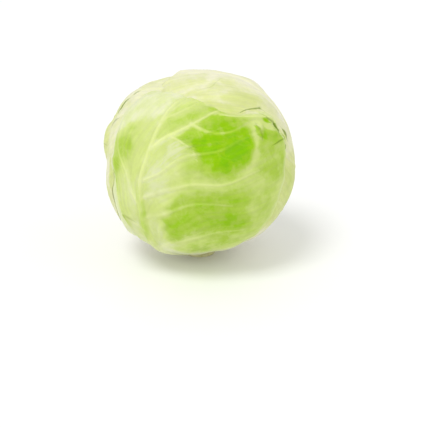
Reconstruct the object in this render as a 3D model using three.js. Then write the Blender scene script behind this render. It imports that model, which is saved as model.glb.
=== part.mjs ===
// A whole white cabbage head: a dense heart wrapped in six overlapping outer leaves, on a short cut stem.
// Units are millimetres and +Z is up. The origin is the middle of the stem's flat foot.
// Compass angles turn about +Z: 0 faces -Y (the front) and 90 faces +X. Latitude is 90 at the crown.
import * as THREE from 'three';

const { clamp, degToRad, lerp, radToDeg, smoothstep } = THREE.MathUtils;

// ---- Driving dimensions ------------------------------------------------------------------------

const CENTRE_HEIGHT = 86; // middle of the head above the foot
const HEART = { radius: 78.2, up: 71, down: 70.5 }; // half width, and heights above and below its middle
const FULLNESS = 2.4; // exponent of the head's rounded outline: 2 is an ellipsoid, more is squarer
const LUMPS = [ // slow swells of the heart: direction they run in, waves per unit, phase and height
  { along: [0.8, 0.3, 0.5], waves: 3.1, phase: 0.4, height: 0.8 },
  { along: [-0.3, 0.9, 0.2], waves: 4.3, phase: 2.1, height: 0.7 },
  { along: [0.5, -0.4, 0.75], waves: 5.6, phase: 4.0, height: 0.5 },
];
const BULGES = [ // broad swells of the heart's shoulders and foot, and hollows: where, how wide and how high
  { compass: -105, latitude: 28, spread: 0.1, height: 3.2 },
  { compass: 118, latitude: 48, spread: 0.08, height: 2 },
  { compass: 98, latitude: 28, spread: 0.05, height: -4 },
  { compass: -91, latitude: 2, spread: 0.015, height: -2.5 },
  { compass: -75, latitude: -42, spread: 0.04, height: 6 },
];
const HEART_GRID = { round: 40, down: 20 }; // facets of the heart

const BLADE = 1.3; // leaf thickness
const MARGIN_BLADE = 0.8; // leaf thickness at its edge
const BASE_BLADE = 1.9; // leaf thickness where it joins the stem
const LAYER_GAP = 0.75; // air between a leaf and what it lies on
const COVER_REACH = { full: 9, none: 36 }; // a leaf lying over another's edge comes down between these

const STEM = { footRadius: 15.5, topRadius: 16, gap: 0.45, sides: 28 };
// A rib loses most of its width near the stem, and a vein loses its width evenly.
const RIB = { baseHalfWidth: 11, tipHalfWidth: 1.5, taper: 0.4, baseHeight: 3.4, tipHeight: 0.6 };
const VEIN = { baseHalfWidth: 2.3, tipHalfWidth: 1.2, taper: 1, baseHeight: 0.9, tipHeight: 0.4 };
const MARGIN_LIFT = { height: 1.5, reach: 13 }; // how a free edge stands off
const BLISTER = { height: 0.8, wave: 9.5, lengthwise: 11.4 }; // gentle swells of the open blade
const RELIEF_FADE = { slow: [6, 24], quick: [2, 10] }; // distances short of a covering leaf's edge

const PATTERN_RADIUS = 82; // leaves are drawn flat, at the scale of a ball of this radius
const PATTERN_LATITUDE = 15; // latitude of the middle of each leaf's pattern
const BASE_Y = -136; // where the sides of a leaf's base meet the stem in its pattern
const GRIP = { halfTurn: 50, gap: 0.9, points: 5 }; // a leaf's base clasps the stem over twice this turn

const EDGE_STEP = 9; // spacing of points along a leaf's edge
const RIB_STEP = 9.5; // spacing of points along the ribs and veins
const FILL_STEP = 12.5; // spacing of points on the open blade
const FILL_CLEAR = 0.48; // share of that spacing kept from other points
const CLEAR_STEP = 2.6; // no two points are closer than this
const LINE_INSET = 2.5; // ribs and veins stop this far inside the edge
const EDGE_INSET = 8; // a second row of points follows the edge this far inside it
const BLADE_INSET = 5; // other points stay this far inside the edge
const FILL_ROWS = 16; // rows of open-blade points each side of the pattern's middle

// ---- Leaf patterns -----------------------------------------------------------------------------
// In a pattern, x runs across the leaf, and y runs from its base (negative) up over the crown (positive).

const ROUND_HALF = [
  [23, BASE_Y], [40, -112], [68, -78], [88, -42], [99, -4], [99, 34], [88, 70], [62, 98], [30, 113],
];
const ROUND_TIP = 116;

// A round leaf: its two halves may differ in width, and its upper part in height.
function roundOutline(left, right, height) {
  const raise = (y) => (y > 0 ? y * height : y);
  const leftSide = ROUND_HALF.map(([x, y]) => [-x * left, raise(y)]);
  const rightSide = ROUND_HALF.map(([x, y]) => [x * right, raise(y)]);
  return [...leftSide, [0, raise(ROUND_TIP)], ...rightSide.reverse()];
}

// Side veins leave the rib by turns, right and left: nearly square to it at the base, steeper near the tip.
const VEIN_FAN = { firstY: -90, lastY: 60, firstTurn: 72, lastTurn: 34, bend: 0.1 };

function pairedVeins(count, length) {
  return Array.from({ length: count }, (_, n) => {
    const up = n / (count - 1);
    const side = n % 2 === 0 ? 1 : -1;
    const y = lerp(VEIN_FAN.firstY, VEIN_FAN.lastY, up);
    const reach = length * (0.7 + 0.45 * Math.sin(Math.PI * lerp(0.2, 0.85, up)));
    const turn = degToRad(lerp(VEIN_FAN.firstTurn, VEIN_FAN.lastTurn, up));
    const pointAt = (share, bend) => [
      side * reach * share * Math.sin(turn - bend),
      y + reach * share * Math.cos(turn - bend),
    ];
    return [[0, y], pointAt(0.5, 0), pointAt(1, VEIN_FAN.bend)];
  });
}

// The leaf over the crown: its upper left corner reaches down the far side of the head.
const CROWN_OUTLINE = [
  [-23, BASE_Y], [-42, -112], [-70, -78], [-90, -42], [-101, -4], [-104, 38], [-96, 76], [-76, 110],
  [-50, 134], [-24, 144], [4, 138], [34, 124], [64, 104], [88, 72], [99, 36], [99, -4], [88, -42],
  [68, -78], [40, -112],
  [23, BASE_Y],
];

const FRONT_OUTLINE = [
  [-26, BASE_Y], [-41, -108], [-52, -70], [-59, -36], [-62, -2], [-64, 14], [-60, 30], [-60, 44], [-50, 59],
  [-36, 69], [-18, 69], [0, 67], [14, 67], [36, 59], [50, 56], [62, 61], [76, 67], [88, 64], [99, 57],
  [112, 45], [118, 27], [119, 3], [115, -24], [104, -54], [84, -86], [50, -114], [16, BASE_Y],
];
const FRONT_RIB = [
  [-5, -130], [-17, -95], [-22, -62], [-23, -35], [-22, -14], [-17, 5], [-13, 20], [-8, 35], [-2, 50],
  [5, 64],
];
const FRONT_VEINS = [
  [[-13, 16], [-4, 24], [7, 30], [17, 37], [25, 44], [34, 53], [40, 58]],
  [[17, 38], [27, 34], [36, 33], [46, 35], [55, 40], [63, 48]],
  [[-20, -12], [-4, -4], [8, 6], [20, 13], [32, 16], [44, 20], [57, 30], [65, 35]],
  [[-8, 36], [3, 43], [16, 54]],
  [[-21, -27], [-4, -20], [9, -15], [24, -10], [50, -8], [80, 6]],
  [[-21, -46], [2, -38], [24, -28], [58, -28]],
  [[-18, -84], [6, -70], [40, -60], [70, -56]],
  [[-22, -38], [-33, -23], [-38, -7], [-46, 9], [-50, 24]],
  [[-23, -58], [-45, -47], [-50, -28], [-54, -12]],
  [[-20, -84], [-36, -66], [-48, -50]],
];

// Where a blade is gathered into a soft ridge: its line, its height, and its reach left and right of that.
const FRONT_FOLDS = [
  {
    line: [[-5, 26], [3, 26], [9, 23.5], [15, 20.5], [20, 18], [24, 14], [27, 8], [28.5, 1], [28, -8]],
    height: 3.4,
    left: 5,
    right: 28,
  },
  {
    line: [[30, 45], [41, 48], [54, 51.5], [68, 55.5], [79, 58.5], [90, 59.5], [97, 56], [99, 47]],
    height: 1.8,
    left: 8,
    right: 5,
  },
  { line: [[70, 54], [75, 47], [76, 38], [74, 26]], height: 1.4, left: 5, right: 4 },
  { line: [[80, 40], [90, 44], [98, 42]], height: 1.4, left: 6, right: 4 },
];
const CROWN_FOLDS = [
  {
    line: [[-58, 72], [-50, 68], [-43, 62], [-37, 55], [-32, 46], [-29, 36]],
    height: 2.4,
    left: 16,
    right: 7,
  },
];
const FLANK_FOLDS = [
  { line: [[40, 24], [46, 10], [51, -4], [53, -16]], height: 2.2, left: 12, right: 20 },
];

// From the inside out. Each leaf grows a golden turn round the stem from the one before.
const GOLDEN_TURN = 137.5;
const OUTER_COMPASS = -38; // where the outermost leaf grows from the stem
const LEAVES = [
  { colour: 0xe6ecc0, outline: roundOutline(0.9, 0.9, 0.96), veins: [] },
  { colour: 0xe3eab8, outline: roundOutline(1, 0.95, 1.02), veins: [] },
  { colour: 0xdfe8ae, outline: roundOutline(0.9, 0.95, 0.94), veins: [] },
  {
    colour: 0xd6e3a0,
    outline: roundOutline(1.08, 0.84, 1.06),
    veins: pairedVeins(8, 62),
    folds: FLANK_FOLDS,
  },
  { colour: 0xdbe6a2, outline: CROWN_OUTLINE, veins: pairedVeins(9, 64), folds: CROWN_FOLDS },
  {
    colour: 0xb4d65a,
    outline: FRONT_OUTLINE,
    patternTurn: 18, // the wider half of the blade swings the pattern's middle round from the rib
    gripTurn: -10,
    rib: FRONT_RIB,
    veins: FRONT_VEINS,
    folds: FRONT_FOLDS,
  },
];
const STRAIGHT_RIB = [[0, -129], [2, -70], [-2, -10], [0, 45], [1, 92]];

// ---- Small mathematics -------------------------------------------------------------------------

function directionAt(compass, latitude) {
  const turn = degToRad(compass);
  const rise = degToRad(latitude);
  const level = Math.cos(rise);
  return new THREE.Vector3(Math.sin(turn) * level, -Math.cos(turn) * level, Math.sin(rise));
}

function smoothLine(points, step) {
  const corners = points.map(([x, y]) => new THREE.Vector3(x, y, 0));
  const curve = new THREE.CatmullRomCurve3(corners, false, 'centripetal');
  const count = Math.max(2, Math.round(curve.getLength() / step));
  return curve.getSpacedPoints(count).map((p) => new THREE.Vector2(p.x, p.y));
}

// The nearest place on a line of points: its distance, which side it is on (+1 is left), and how far along.
function nearestOnLine(line, x, y) {
  let best = { distance: Infinity, side: 1, along: 0 };
  for (let n = 0; n < line.length - 1; n += 1) {
    const a = line[n];
    const b = line[n + 1];
    const dx = b.x - a.x;
    const dy = b.y - a.y;
    const share = clamp(((x - a.x) * dx + (y - a.y) * dy) / (dx * dx + dy * dy), 0, 1);
    const distance = Math.hypot(x - a.x - share * dx, y - a.y - share * dy);
    if (distance < best.distance) {
      const side = dx * (y - a.y) - dy * (x - a.x) >= 0 ? 1 : -1;
      best = { distance, side, along: (n + share) / (line.length - 1) };
    }
  }
  return best;
}

function halfWidthAt({ baseHalfWidth, tipHalfWidth, taper }, along) {
  return lerp(baseHalfWidth, tipHalfWidth, along ** taper);
}

// ---- One leaf's pattern ------------------------------------------------------------------------

class Leaf {
  constructor(spec, layer) {
    this.layer = layer;
    this.name = `wrapper_leaf_${layer + 1}`;
    this.colour = spec.colour;
    this.seed = layer + 1;
    const grown = GOLDEN_TURN * (LEAVES.length - 1 - layer);
    const compass = OUTER_COMPASS + grown + (spec.patternTurn ?? 0);
    this.forward = directionAt(compass, PATTERN_LATITUDE);
    this.up = directionAt(compass, PATTERN_LATITUDE + 90);
    this.across = directionAt(compass + 90, 0);
    this.edge = [...this.wavedEdge(spec.outline), ...this.stemEdge(compass + (spec.gripTurn ?? 0))];
    this.rib = smoothLine(spec.rib ?? STRAIGHT_RIB, RIB_STEP);
    this.veins = spec.veins.map((vein) => smoothLine(vein, RIB_STEP));
    this.folds = (spec.folds ?? []).map((fold) => ({ ...fold, line: smoothLine(fold.line, RIB_STEP / 2) }));
  }

  // The outline with the small in-and-out waves of a leaf's free edge, calm at its base.
  wavedEdge(outline) {
    const arch = smoothLine(outline, EDGE_STEP);
    return arch.map((p, n) => {
      const calm = smoothstep(p.y, BASE_Y + 8, BASE_Y + 60);
      const wave = 1.3 * Math.sin(n * 1.35 + this.seed * 2.1) + 0.9 * Math.sin(n * 2.15 + this.seed);
      const size = 1 + (calm * wave) / Math.max(p.length(), PATTERN_RADIUS / 2);
      return new THREE.Vector2(p.x * size, p.y * size);
    });
  }

  // The end of the base: an arc beside the stem, from its right side to its left.
  stemEdge(compass) {
    const reach = HEART.down + (this.layer + 0.5) * (BASE_BLADE + LAYER_GAP);
    const polar = radToDeg(Math.asin((STEM.topRadius + GRIP.gap) / reach));
    return Array.from({ length: GRIP.points }, (_, n) => {
      const turn = GRIP.halfTurn * (1 - (2 * (n + 0.5)) / GRIP.points);
      return this.toPattern(directionAt(compass + turn, polar - 90));
    });
  }

  toDirection({ x, y }) {
    const reach = Math.hypot(x, y);
    const angle = reach / PATTERN_RADIUS;
    const sideways = reach > 0 ? Math.sin(angle) / reach : 0;
    return new THREE.Vector3()
      .addScaledVector(this.forward, Math.cos(angle))
      .addScaledVector(this.across, x * sideways)
      .addScaledVector(this.up, y * sideways);
  }

  toPattern(direction) {
    const angle = direction.angleTo(this.forward);
    const x = direction.dot(this.across);
    const y = direction.dot(this.up);
    const scale = (angle * PATTERN_RADIUS) / Math.max(Math.hypot(x, y), Number.EPSILON);
    return new THREE.Vector2(x * scale, y * scale);
  }

  // Distance in from the leaf's edge: negative outside it.
  depth({ x, y }) {
    const ring = [...this.edge, this.edge[0]];
    const { distance } = nearestOnLine(ring, x, y);
    let inside = false;
    for (let n = 0; n < ring.length - 1; n += 1) {
      const a = ring[n];
      const b = ring[n + 1];
      if (a.y > y !== b.y > y && x < a.x + ((y - a.y) * (b.x - a.x)) / (b.y - a.y)) inside = !inside;
    }
    return inside ? distance : -distance;
  }

  // Thickness of the open blade, which grows towards the stem.
  blade({ y }) {
    return lerp(BASE_BLADE, BLADE, smoothstep(y, BASE_Y, BASE_Y + 45));
  }

  // What this leaf adds under the leaves that lie over it.
  lift(direction) {
    const p = this.toPattern(direction);
    return (this.blade(p) + LAYER_GAP) * smoothstep(this.depth(p), -COVER_REACH.none, -COVER_REACH.full);
  }

  ridge(line, size, { x, y }) {
    const { distance, along } = nearestOnLine(line, x, y);
    const halfWidth = halfWidthAt(size, along);
    const height = lerp(size.baseHeight, size.tipHeight, along);
    return height * (1 - smoothstep(distance, 0.2 * halfWidth, halfWidth));
  }

  ribHeight(p) {
    return this.ridge(this.rib, RIB, p);
  }

  veinHeight(p) {
    return Math.max(0, ...this.veins.map((vein) => this.ridge(vein, VEIN, p)));
  }

  // Slow swells of the blade.
  swell(p) {
    const across = Math.sin(p.x / BLISTER.wave + this.seed);
    const along = Math.sin(p.y / BLISTER.lengthwise + 2 * this.seed);
    return BLISTER.height * (1 + across * along);
  }

  foldHeight(p) {
    return this.folds.reduce((sum, { line, height, left, right }) => {
      const { distance, side, along } = nearestOnLine(line, p.x, p.y);
      const ends = smoothstep(along, 0, 0.3) * smoothstep(1 - along, 0, 0.3);
      return sum + height * ends * (1 - smoothstep(distance, 0, side > 0 ? left : right));
    }, 0);
  }

  marginLift(p, depth) {
    const near = 1 - smoothstep(depth, 0, MARGIN_LIFT.reach);
    const turn = Math.atan2(p.x, p.y);
    const wave = 0.45 * Math.sin(turn * 13 + this.seed * 1.7) + 0.3 * Math.sin(turn * 23 + this.seed);
    return MARGIN_LIFT.height * near * (0.75 + wave) * smoothstep(p.y, BASE_Y + 20, BASE_Y + 75);
  }
}

// ---- The heart and the layers over it ----------------------------------------------------------

function heartRadius(direction) {
  const flat = Math.hypot(direction.x, direction.y) / HEART.radius;
  const tall = Math.abs(direction.z) / (direction.z > 0 ? HEART.up : HEART.down);
  const round = (flat ** FULLNESS + tall ** FULLNESS) ** (-1 / FULLNESS);
  const calm = smoothstep(direction.z, -1, -0.8); // level round the stem
  const lumps = LUMPS.reduce((sum, { along, waves, phase, height }) => {
    const travel = direction.x * along[0] + direction.y * along[1] + direction.z * along[2];
    return sum + height * Math.sin(waves * travel + phase);
  }, 0);
  const bulges = BULGES.reduce((sum, { compass, latitude, spread, height }) => {
    const nearness = direction.dot(directionAt(compass, latitude));
    return sum + height * Math.exp((nearness - 1) / spread);
  }, 0);
  return round + calm * lumps + bulges;
}

const leaves = LEAVES.map((spec, layer) => new Leaf(spec, layer));

// How open a place on a leaf is: 0 under a later leaf, 1 once it is clear of them all.
function exposure(leaf, direction, [near, far]) {
  const later = leaves.slice(leaf.layer + 1);
  const cover = later.map((other) => smoothstep(other.depth(other.toPattern(direction)), -far, -near));
  return 1 - Math.max(0, ...cover);
}

function leafSurfaces(leaf, p) {
  const direction = leaf.toDirection(p);
  const depth = leaf.depth(p);
  const open = exposure(leaf, direction, RELIEF_FADE.slow);
  const nearlyOpen = exposure(leaf, direction, RELIEF_FADE.quick);
  const below = leaves.slice(0, leaf.layer).reduce((sum, other) => sum + other.lift(direction), LAYER_GAP);
  const stand = open * (leaf.swell(p) + leaf.marginLift(p, depth)) + nearlyOpen * leaf.foldHeight(p);
  const inner = heartRadius(direction) + below + stand;
  const blade = lerp(MARGIN_BLADE, leaf.blade(p), smoothstep(depth, 0, 10));
  const veins = nearlyOpen * leaf.veinHeight(p) * smoothstep(depth, 1, 8);
  const relief = Math.max(open * leaf.ribHeight(p), veins);
  return { direction, inner, outer: inner + blade + relief };
}

// ---- Turning a pattern into a solid ------------------------------------------------------------

// Points of a leaf's mesh: its edge, both sides of each rib and vein with their crests, and the open blade.
function patternPoints(leaf) {
  const points = [...leaf.edge];
  const add = (p, step, margin) => {
    const clear = points.every((q) => q.distanceTo(p) >= step);
    if (clear && leaf.depth(p) >= margin) points.push(p);
  };
  const addLine = (line, size, rows) => {
    line.forEach((p, n) => {
      const ahead = line[Math.min(n + 1, line.length - 1)];
      const behind = line[Math.max(n - 1, 0)];
      const normal = new THREE.Vector2(behind.y - ahead.y, ahead.x - behind.x).normalize();
      const halfWidth = halfWidthAt(size, n / (line.length - 1));
      rows(halfWidth).forEach((row) => {
        add(p.clone().addScaledVector(normal, row * halfWidth), CLEAR_STEP, LINE_INSET);
      });
    });
  };
  addLine(leaf.rib, RIB, (halfWidth) => (halfWidth > 4 ? [0.35, -0.35, 1, -1] : [0, 1.2, -1.2]));
  leaf.veins.forEach((vein) => addLine(vein, VEIN, () => [0, 1.3, -1.3]));
  leaf.folds.forEach(({ line, left, right }) => {
    const sides = [0, left, -Math.min(right, FILL_STEP)];
    addLine(line, { baseHalfWidth: 1, tipHalfWidth: 1, taper: 1 }, () => sides);
  });
  leaf.edge.forEach((p, n) => {
    if (n % 2 === 0) add(p.clone().multiplyScalar(1 - EDGE_INSET / p.length()), BLADE_INSET, BLADE_INSET);
  });
  const rowStep = FILL_STEP * Math.sin(Math.PI / 3);
  for (let row = -FILL_ROWS; row <= FILL_ROWS; row += 1) {
    for (let place = -FILL_ROWS; place <= FILL_ROWS; place += 1) {
      const x = (place + (row % 2 === 0 ? 0 : 0.5)) * FILL_STEP;
      add(new THREE.Vector2(x, row * rowStep), FILL_STEP * FILL_CLEAR, BLADE_INSET);
    }
  }
  return points;
}

function circumcircle([a, b, c]) {
  const bx = b.x - a.x;
  const by = b.y - a.y;
  const cx = c.x - a.x;
  const cy = c.y - a.y;
  const twice = 2 * (bx * cy - by * cx);
  const x = (cy * (bx * bx + by * by) - by * (cx * cx + cy * cy)) / twice;
  const y = (bx * (cx * cx + cy * cy) - cx * (bx * bx + by * by)) / twice;
  return { x: a.x + x, y: a.y + y, radius: Math.hypot(x, y) };
}

// Delaunay triangles of the points, added one at a time, without those outside the leaf's edge.
function triangulate(points, leaf) {
  const far = 4000; // the corners of a first triangle that holds every point
  const frame = [[-far, -far], [far, -far], [0, far]].map(([x, y]) => new THREE.Vector2(x, y));
  const all = [...points, ...frame];
  const triangleOf = (corners) => ({ corners, circle: circumcircle(corners.map((n) => all[n])) });
  let triangles = [triangleOf([points.length, points.length + 1, points.length + 2])];
  points.forEach((p, n) => {
    const holds = ({ circle }) => Math.hypot(p.x - circle.x, p.y - circle.y) < circle.radius;
    const edges = new Map();
    triangles.filter(holds).forEach(({ corners: [a, b, c] }) => {
      [[a, b], [b, c], [c, a]].forEach(([from, to]) => {
        if (!edges.delete(`${to},${from}`)) edges.set(`${from},${to}`, [from, to]);
      });
    });
    triangles = triangles.filter((triangle) => !holds(triangle));
    edges.forEach(([from, to]) => triangles.push(triangleOf([from, to, n])));
  });
  return triangles.map(({ corners }) => corners).filter((corners) => {
    if (Math.max(...corners) >= points.length) return false;
    const middle = corners.reduce((sum, n) => sum.add(points[n]), new THREE.Vector2()).divideScalar(3);
    return leaf.depth(middle) > 0;
  });
}

function leafGeometry(leaf) {
  const points = patternPoints(leaf);
  const faces = triangulate(points, leaf);
  const surfaces = points.map((p) => leafSurfaces(leaf, p));
  const place = ({ direction }, radius) => [
    direction.x * radius,
    direction.y * radius,
    direction.z * radius + CENTRE_HEIGHT,
  ];
  const positions = [
    ...surfaces.flatMap((s) => place(s, s.outer)),
    ...surfaces.flatMap((s) => place(s, s.inner)),
  ];
  const back = points.length;
  const index = faces.flatMap(([a, b, c]) => [a, b, c, back + c, back + b, back + a]);
  const rim = new Map();
  faces.forEach(([a, b, c]) => {
    [[a, b], [b, c], [c, a]].forEach(([from, to]) => {
      if (!rim.delete(`${to},${from}`)) rim.set(`${from},${to}`, [from, to]);
    });
  });
  rim.forEach(([from, to]) => index.push(from, back + from, to, to, back + from, back + to));
  return solidGeometry(positions, index);
}

function solidGeometry(positions, index) {
  const geometry = new THREE.BufferGeometry();
  geometry.setAttribute('position', new THREE.Float32BufferAttribute(positions, 3));
  geometry.setIndex(index);
  geometry.computeVertexNormals();
  return geometry;
}

function heartGeometry() {
  const { round, down } = HEART_GRID;
  const positions = [0, 0, CENTRE_HEIGHT + heartRadius(directionAt(0, 90))];
  for (let row = 1; row < down; row += 1) {
    for (let n = 0; n < round; n += 1) {
      const direction = directionAt((360 * n) / round, 90 - (180 * row) / down);
      const radius = heartRadius(direction);
      positions.push(direction.x * radius, direction.y * radius, direction.z * radius + CENTRE_HEIGHT);
    }
  }
  positions.push(0, 0, CENTRE_HEIGHT - HEART.down);
  const last = 1 + (down - 1) * round;
  const index = [];
  for (let n = 0; n < round; n += 1) {
    const next = (n + 1) % round;
    index.push(0, 1 + n, 1 + next);
    index.push(last, last - round + next, last - round + n);
    for (let row = 0; row < down - 2; row += 1) {
      const top = 1 + row * round;
      index.push(top + n, top + round + n, top + round + next);
      index.push(top + n, top + round + next, top + next);
    }
  }
  return solidGeometry(positions, index);
}

// The cut stem: a short round stump with a flat foot, a worn cut edge and a flat top under the heart.
function stemGeometry() {
  const top = CENTRE_HEIGHT - HEART.down - STEM.gap;
  const profile = [
    [0, 0], [STEM.footRadius - 0.8, 0], [STEM.footRadius, 0.8], [STEM.topRadius, top * 0.7],
    [STEM.topRadius - 0.6, top], [0, top],
  ];
  return new THREE.LatheGeometry(profile.map(([x, y]) => new THREE.Vector2(x, y)), STEM.sides);
}

// ---- The head ----------------------------------------------------------------------------------

function addMesh(group, name, geometry, colour, roughness) {
  const material = new THREE.MeshStandardMaterial({ color: colour, roughness, metalness: 0 });
  const mesh = new THREE.Mesh(geometry, material);
  mesh.name = name;
  group.add(mesh);
  return mesh;
}

const cabbage = new THREE.Group();
const stem = addMesh(cabbage, 'stem_stub', stemGeometry(), 0xe9e6c4, 0.7);
stem.rotation.x = Math.PI / 2; // the lathe turns about Y: stand it on Z
addMesh(cabbage, 'heart', heartGeometry(), 0xeaf0c8, 0.55);
leaves.forEach((leaf) => addMesh(cabbage, leaf.name, leafGeometry(leaf), leaf.colour, 0.5));

export default cabbage;
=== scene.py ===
"""The looks of a whole white cabbage head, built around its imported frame.

Lengths are in millimetres until a mesh is made, when they become metres. Each leaf is drawn flat, in a
pattern whose x runs across it and whose y runs from its base over the crown, and is then wrapped on the head.
Compass angles turn about +Z: 0 faces -Y (the front) and 90 faces +X. Latitude is 90 at the crown.
"""
import math

import bpy
import numpy as np
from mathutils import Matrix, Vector


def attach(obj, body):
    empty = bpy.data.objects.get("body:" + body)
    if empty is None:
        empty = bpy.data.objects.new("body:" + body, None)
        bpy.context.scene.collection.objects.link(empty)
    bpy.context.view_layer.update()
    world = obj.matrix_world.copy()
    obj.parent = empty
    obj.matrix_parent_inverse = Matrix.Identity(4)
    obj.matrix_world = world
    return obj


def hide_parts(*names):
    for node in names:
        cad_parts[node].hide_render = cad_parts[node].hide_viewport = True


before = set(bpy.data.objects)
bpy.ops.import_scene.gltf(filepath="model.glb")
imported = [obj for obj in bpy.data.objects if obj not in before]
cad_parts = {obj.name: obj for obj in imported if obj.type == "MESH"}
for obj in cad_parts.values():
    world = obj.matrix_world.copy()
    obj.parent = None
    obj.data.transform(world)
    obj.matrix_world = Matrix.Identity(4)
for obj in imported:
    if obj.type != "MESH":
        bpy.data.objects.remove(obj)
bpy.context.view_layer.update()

MM = 0.001

# ---- The head's dimensions, as in the frame ----

CENTRE_HEIGHT = 86.0
HEART_RADIUS, HEART_UP, HEART_DOWN = 78.2, 71.0, 70.5
FULLNESS = 2.4
HEART_INSET, HEART_STEPS, HEART_STEP = 1.6, 3, 0.5  # room for the steps, their number and their height
LUMPS = [  # direction they run in, pace, phase, height
    ((0.8, 0.3, 0.5), 3.1, 0.4, 0.8),
    ((-0.3, 0.9, 0.2), 4.3, 2.1, 0.7),
    ((0.5, -0.4, 0.75), 5.6, 4.0, 0.5),
]
BULGES = [  # compass, latitude, spread, height
    (-105, 28, 0.1, 3.2),
    (118, 48, 0.08, 2),
    (98, 28, 0.05, -4),
    (-91, 2, 0.015, -2.5),
    (-75, -42, 0.04, 6),
]
BLADE, BASE_BLADE, MARGIN_BLADE = 1.3, 1.9, 0.55  # leaf thickness, at the stem and at the edge
LAYER_GAP = 0.75  # air between a leaf and what it lies on
COVER_FULL, COVER_NONE = 9.0, 36.0  # a leaf lying over another's edge comes down between these
STEM_FOOT, STEM_TOP, STEM_GAP = 15.5, 16.0, 0.45
RIB = (11.0, 1.5, 0.4, 3.4, 0.6)  # half widths at base and tip, how early it narrows, heights at both
VEIN = (2.0, 0.9, 1.0, 0.75, 0.3)
TWIG = (0.8, 0.45, 1.0, 0.2, 0.08)
TWIG_PLAINNESS = 0.12
TWIG_FAN, SMALL_TWIG_FAN = (13.0, 20.0), (8.0, 9.0)  # spacing and length
TWIG_TURN, TWIG_SIZE, TWIG_STRIDE = (42, 62), (0.6, 1.1), (0.7, 1.2)  # least and most
TWIG_CURVE = [(0.35, 0.0), (0.7, 0.22), (1.0, 0.42)]  # how far along, and how bent there
# A crest's ridge, in the same terms as the rib, with a highlight painted along it.
HIGHLIGHT_CREST = (1.0, 0.8, 1.0, 0.35, 0.25)
MARGIN_LIFT, MARGIN_REACH = 0.5, 13.0  # how a free edge stands off
EDGE_WAVES = [(1.3, 1.35, 2.1), (0.9, 2.15, 1)]  # height, pace and phase
FINE_EDGE_WAVES = [(0.35, 5.1, 1.3), (0.2, 8.3, 1)]
LIFT_LEVEL, LIFT_WAVES = 0.75, [(0.45, 13, 1.7), (0.3, 23, 1)]
HUG_SHARE, HUG_REACH = 0.95, 12.0  # share of the air under a free edge that closes, and how far in
BLISTER, BLISTER_ACROSS, BLISTER_ALONG = 0.8, 9.5, 11.4  # height, width and length of a blade's swells
PATTERN_RADIUS, PATTERN_LATITUDE = 82.0, 15.0
BASE_Y = -136.0
THICK_BASE, EDGE_CALM, LIFT_CALM = (BASE_Y, -91), (-128, -76), (-116, 4)  # from which y to which
GRIP_TURN, GRIP_GAP, GRIP_POINTS = 50.0, 0.9, 5
EDGE_STEP, LINE_STEP, CREASE_STEP, CREST_STEP, SMALL_TWIG_STEP = 9.0, 3.0, 1.0, 2.0, 2.5
GOLDEN_TURN, OUTER_COMPASS = 137.5, -38.0
LATTICE_STEP, LATTICE_HALF = 5.0, 34  # where the veins' headings are kept

# ---- Fine relief, not in the frame ----

FADES = [(-24, -6), (-6, -1), (-2, -0.5)]  # depths under a later leaf where relief ends, by how bulky it is
GRAIN, FINE_GRAIN = (2.4, 22.0, 90), (1.3, 12.0, 130)  # width and length of the streaks, and their seed
GRAIN_RELIEF, GRAIN_INSET = 0.07, 10
GROOVE_SHARE, GROOVE_DEEPEST, GROOVE_REACH = 0.25, 0.3, 1.4  # depth as a share of a crease's half width
NET_CELL, NET_LINE, NET_RELIEF, NET_WAVE, NET_WANDER = 6.5, 0.25, 0.1, 6.0, 1.2
HOLLOW_RELIEF, HOLLOW_REACH = 0.35, (1.5, 11)  # the blade swells between its veins
HALO_REACH, RIB_HALO, VEIN_SEARCH = (0.5, 5), 0.3, 16
RIB_PLAINNESS, RIB_SHOWS = (0.35, 0.9), (-60, -10)
PATCH_WANDER = [(14.0, 1.6), (5.0, 1.0), (2.5, 0.5)]  # size and reach of the waves in a patch's edge
TWIG_SEED, CELL_SEED, NET_SEEDS, PATCH_SEEDS = 40, 10, (5, 25), (50, 60)
RELIEF_INSET, BLADE_INSET, GROOVE_INSET = (0, 5), (0, 9), (1, 5)  # where each rises, in from the edge

# ---- Leaf patterns ----

ROUND_HALF = [
    (23, BASE_Y), (40, -112), (68, -78), (88, -42), (99, -4), (99, 34), (88, 70), (62, 98), (30, 113),
]
ROUND_TIP = 116
CROWN_OUTLINE = [
    (-23, BASE_Y), (-42, -112), (-70, -78), (-90, -42), (-101, -4), (-104, 38), (-96, 76), (-76, 110),
    (-50, 134), (-24, 144), (4, 138), (34, 124), (64, 104), (88, 72), (99, 36), (99, -4), (88, -42),
    (68, -78), (40, -112), (23, BASE_Y),
]
FRONT_OUTLINE = [
    (-26, BASE_Y), (-41, -108), (-52, -70), (-59, -36), (-62, -2), (-64, 14), (-60, 30), (-60, 44),
    (-50, 59), (-36, 69), (-18, 69), (0, 67), (14, 67), (36, 59), (50, 56), (62, 61), (76, 67), (88, 64),
    (99, 57), (112, 45), (118, 27), (119, 3), (115, -24), (104, -54), (84, -86), (50, -114), (16, BASE_Y),
]
STRAIGHT_RIB = [(0, -129), (2, -70), (-2, -10), (0, 45), (1, 92)]
FRONT_RIB = [
    (-5, -130), (-17, -95), (-22, -62), (-23, -35), (-22, -14), (-17, 5), (-13, 20), (-8, 35),
    (-2, 50), (5, 64),
]
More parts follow.
